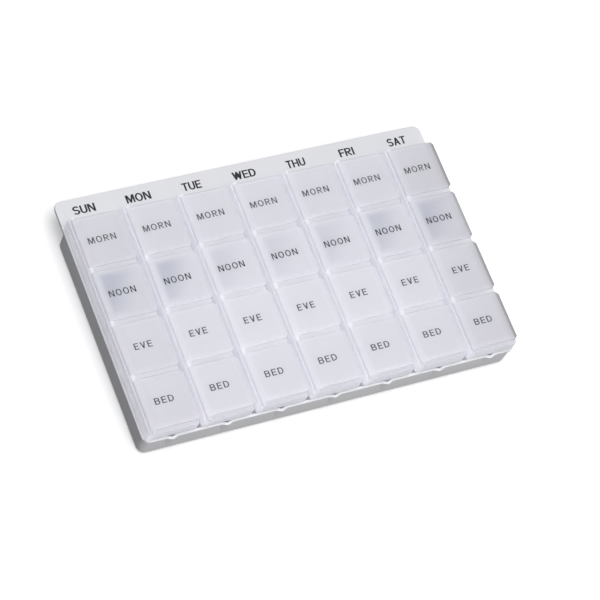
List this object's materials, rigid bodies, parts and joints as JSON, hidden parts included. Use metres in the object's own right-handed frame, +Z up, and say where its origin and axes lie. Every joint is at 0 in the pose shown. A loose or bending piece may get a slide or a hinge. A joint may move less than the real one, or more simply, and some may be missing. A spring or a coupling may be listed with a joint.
{
  "type": "weekly pill organizer",
  "caption": "Shallow white tray with a flat day header, holding lift-out frosted strips of pill compartments, each compartment closed by a hinged lid with a thumb lip.",
  "frame": {"origin": "middle of the object's outline on the plane it stands on", "axes": "+X along the week from the Sunday strip to the Saturday strip, +Y towards the day header, +Z up"},
  "size_m": [0.2282, 0.15, 0.0287],
  "materials": {
    "tray_white": "satin opaque moulded polypropylene",
    "strip_frosted": "frosted translucent moulded polypropylene",
    "lid_frosted": "frosted translucent moulded polypropylene",
    "lid_noon_tint": "frosted translucent moulded polypropylene, faint blue-grey tint",
    "print_black": "pad-printed ink"
  },
  "bodies": {
    "tray": {"tray": "tray_white"},
    "strip_sun": {"strip_sun": "strip_frosted"},
    "strip_mon": {"strip_mon": "strip_frosted"},
    "strip_tue": {"strip_tue": "strip_frosted"},
    "strip_wed": {"strip_wed": "strip_frosted"},
    "strip_thu": {"strip_thu": "strip_frosted"},
    "strip_fri": {"strip_fri": "strip_frosted"},
    "strip_sat": {"strip_sat": "strip_frosted"},
    "lid_sun_morn": {"lid_sun_morn": "lid_frosted"},
    "lid_sun_noon": {"lid_sun_noon": "lid_noon_tint"},
    "lid_sun_eve": {"lid_sun_eve": "lid_frosted"},
    "lid_sun_bed": {"lid_sun_bed": "lid_frosted"},
    "lid_mon_morn": {"lid_mon_morn": "lid_frosted"},
    "lid_mon_noon": {"lid_mon_noon": "lid_noon_tint"},
    "lid_mon_eve": {"lid_mon_eve": "lid_frosted"},
    "lid_mon_bed": {"lid_mon_bed": "lid_frosted"},
    "lid_tue_morn": {"lid_tue_morn": "lid_frosted"},
    "lid_tue_noon": {"lid_tue_noon": "lid_noon_tint"},
    "lid_tue_eve": {"lid_tue_eve": "lid_frosted"},
    "lid_tue_bed": {"lid_tue_bed": "lid_frosted"},
    "lid_wed_morn": {"lid_wed_morn": "lid_frosted"},
    "lid_wed_noon": {"lid_wed_noon": "lid_noon_tint"},
    "lid_wed_eve": {"lid_wed_eve": "lid_frosted"},
    "lid_wed_bed": {"lid_wed_bed": "lid_frosted"},
    "lid_thu_morn": {"lid_thu_morn": "lid_frosted"},
    "lid_thu_noon": {"lid_thu_noon": "lid_noon_tint"},
    "lid_thu_eve": {"lid_thu_eve": "lid_frosted"},
    "lid_thu_bed": {"lid_thu_bed": "lid_frosted"},
    "lid_fri_morn": {"lid_fri_morn": "lid_frosted"},
    "lid_fri_noon": {"lid_fri_noon": "lid_noon_tint"},
    "lid_fri_eve": {"lid_fri_eve": "lid_frosted"},
    "lid_fri_bed": {"lid_fri_bed": "lid_frosted"},
    "lid_sat_morn": {"lid_sat_morn": "lid_frosted"},
    "lid_sat_noon": {"lid_sat_noon": "lid_noon_tint"},
    "lid_sat_eve": {"lid_sat_eve": "lid_frosted"},
    "lid_sat_bed": {"lid_sat_bed": "lid_frosted"}
  },
  "joints": [
    {"name": "lift_sun", "type": "slide", "parent": "tray", "child": "strip_sun", "axis": [0, 0, 1], "range_m": [0, 0.04]},
    {"name": "lift_mon", "type": "slide", "parent": "tray", "child": "strip_mon", "axis": [0, 0, 1], "range_m": [0, 0.04]},
    {"name": "lift_tue", "type": "slide", "parent": "tray", "child": "strip_tue", "axis": [0, 0, 1], "range_m": [0, 0.04]},
    {"name": "lift_wed", "type": "slide", "parent": "tray", "child": "strip_wed", "axis": [0, 0, 1], "range_m": [0, 0.04]},
    {"name": "lift_thu", "type": "slide", "parent": "tray", "child": "strip_thu", "axis": [0, 0, 1], "range_m": [0, 0.04]},
    {"name": "lift_fri", "type": "slide", "parent": "tray", "child": "strip_fri", "axis": [0, 0, 1], "range_m": [0, 0.04]},
    {"name": "lift_sat", "type": "slide", "parent": "tray", "child": "strip_sat", "axis": [0, 0, 1], "range_m": [0, 0.04]},
    {"name": "hinge_sun_morn", "type": "hinge", "parent": "strip_sun", "child": "lid_sun_morn", "pos_m": [-0.1108, 0.04237, 0.02735], "axis": [0, -1, 0], "range_deg": [0, 135]},
    {"name": "hinge_sun_noon", "type": "hinge", "parent": "strip_sun", "child": "lid_sun_noon", "pos_m": [-0.1108, 0.00937, 0.02735], "axis": [0, -1, 0], "range_deg": [0, 135]},
    {"name": "hinge_sun_eve", "type": "hinge", "parent": "strip_sun", "child": "lid_sun_eve", "pos_m": [-0.1108, -0.02363, 0.02735], "axis": [0, -1, 0], "range_deg": [0, 135]},
    {"name": "hinge_sun_bed", "type": "hinge", "parent": "strip_sun", "child": "lid_sun_bed", "pos_m": [-0.1108, -0.05663, 0.02735], "axis": [0, -1, 0], "range_deg": [0, 135]},
    {"name": "hinge_mon_morn", "type": "hinge", "parent": "strip_mon", "child": "lid_mon_morn", "pos_m": [-0.0783, 0.04237, 0.02735], "axis": [0, -1, 0], "range_deg": [0, 135]},
    {"name": "hinge_mon_noon", "type": "hinge", "parent": "strip_mon", "child": "lid_mon_noon", "pos_m": [-0.0783, 0.00937, 0.02735], "axis": [0, -1, 0], "range_deg": [0, 135]},
    {"name": "hinge_mon_eve", "type": "hinge", "parent": "strip_mon", "child": "lid_mon_eve", "pos_m": [-0.0783, -0.02363, 0.02735], "axis": [0, -1, 0], "range_deg": [0, 135]},
    {"name": "hinge_mon_bed", "type": "hinge", "parent": "strip_mon", "child": "lid_mon_bed", "pos_m": [-0.0783, -0.05663, 0.02735], "axis": [0, -1, 0], "range_deg": [0, 135]},
    {"name": "hinge_tue_morn", "type": "hinge", "parent": "strip_tue", "child": "lid_tue_morn", "pos_m": [-0.0458, 0.04237, 0.02735], "axis": [0, -1, 0], "range_deg": [0, 135]},
    {"name": "hinge_tue_noon", "type": "hinge", "parent": "strip_tue", "child": "lid_tue_noon", "pos_m": [-0.0458, 0.00937, 0.02735], "axis": [0, -1, 0], "range_deg": [0, 135]},
    {"name": "hinge_tue_eve", "type": "hinge", "parent": "strip_tue", "child": "lid_tue_eve", "pos_m": [-0.0458, -0.02363, 0.02735], "axis": [0, -1, 0], "range_deg": [0, 135]},
    {"name": "hinge_tue_bed", "type": "hinge", "parent": "strip_tue", "child": "lid_tue_bed", "pos_m": [-0.0458, -0.05663, 0.02735], "axis": [0, -1, 0], "range_deg": [0, 135]},
    {"name": "hinge_wed_morn", "type": "hinge", "parent": "strip_wed", "child": "lid_wed_morn", "pos_m": [-0.0133, 0.04237, 0.02735], "axis": [0, -1, 0], "range_deg": [0, 135]},
    {"name": "hinge_wed_noon", "type": "hinge", "parent": "strip_wed", "child": "lid_wed_noon", "pos_m": [-0.0133, 0.00937, 0.02735], "axis": [0, -1, 0], "range_deg": [0, 135]},
    {"name": "hinge_wed_eve", "type": "hinge", "parent": "strip_wed", "child": "lid_wed_eve", "pos_m": [-0.0133, -0.02363, 0.02735], "axis": [0, -1, 0], "range_deg": [0, 135]},
    {"name": "hinge_wed_bed", "type": "hinge", "parent": "strip_wed", "child": "lid_wed_bed", "pos_m": [-0.0133, -0.05663, 0.02735], "axis": [0, -1, 0], "range_deg": [0, 135]},
    {"name": "hinge_thu_morn", "type": "hinge", "parent": "strip_thu", "child": "lid_thu_morn", "pos_m": [0.0192, 0.04237, 0.02735], "axis": [0, -1, 0], "range_deg": [0, 135]},
    {"name": "hinge_thu_noon", "type": "hinge", "parent": "strip_thu", "child": "lid_thu_noon", "pos_m": [0.0192, 0.00937, 0.02735], "axis": [0, -1, 0], "range_deg": [0, 135]},
    {"name": "hinge_thu_eve", "type": "hinge", "parent": "strip_thu", "child": "lid_thu_eve", "pos_m": [0.0192, -0.02363, 0.02735], "axis": [0, -1, 0], "range_deg": [0, 135]},
    {"name": "hinge_thu_bed", "type": "hinge", "parent": "strip_thu", "child": "lid_thu_bed", "pos_m": [0.0192, -0.05663, 0.02735], "axis": [0, -1, 0], "range_deg": [0, 135]},
    {"name": "hinge_fri_morn", "type": "hinge", "parent": "strip_fri", "child": "lid_fri_morn", "pos_m": [0.0517, 0.04237, 0.02735], "axis": [0, -1, 0], "range_deg": [0, 135]},
    {"name": "hinge_fri_noon", "type": "hinge", "parent": "strip_fri", "child": "lid_fri_noon", "pos_m": [0.0517, 0.00937, 0.02735], "axis": [0, -1, 0], "range_deg": [0, 135]},
    {"name": "hinge_fri_eve", "type": "hinge", "parent": "strip_fri", "child": "lid_fri_eve", "pos_m": [0.0517, -0.02363, 0.02735], "axis": [0, -1, 0], "range_deg": [0, 135]},
    {"name": "hinge_fri_bed", "type": "hinge", "parent": "strip_fri", "child": "lid_fri_bed", "pos_m": [0.0517, -0.05663, 0.02735], "axis": [0, -1, 0], "range_deg": [0, 135]},
    {"name": "hinge_sat_morn", "type": "hinge", "parent": "strip_sat", "child": "lid_sat_morn", "pos_m": [0.0842, 0.04237, 0.02735], "axis": [0, -1, 0], "range_deg": [0, 135]},
    {"name": "hinge_sat_noon", "type": "hinge", "parent": "strip_sat", "child": "lid_sat_noon", "pos_m": [0.0842, 0.00937, 0.02735], "axis": [0, -1, 0], "range_deg": [0, 135]},
    {"name": "hinge_sat_eve", "type": "hinge", "parent": "strip_sat", "child": "lid_sat_eve", "pos_m": [0.0842, -0.02363, 0.02735], "axis": [0, -1, 0], "range_deg": [0, 135]},
    {"name": "hinge_sat_bed", "type": "hinge", "parent": "strip_sat", "child": "lid_sat_bed", "pos_m": [0.0842, -0.05663, 0.02735], "axis": [0, -1, 0], "range_deg": [0, 135]}
  ]
}
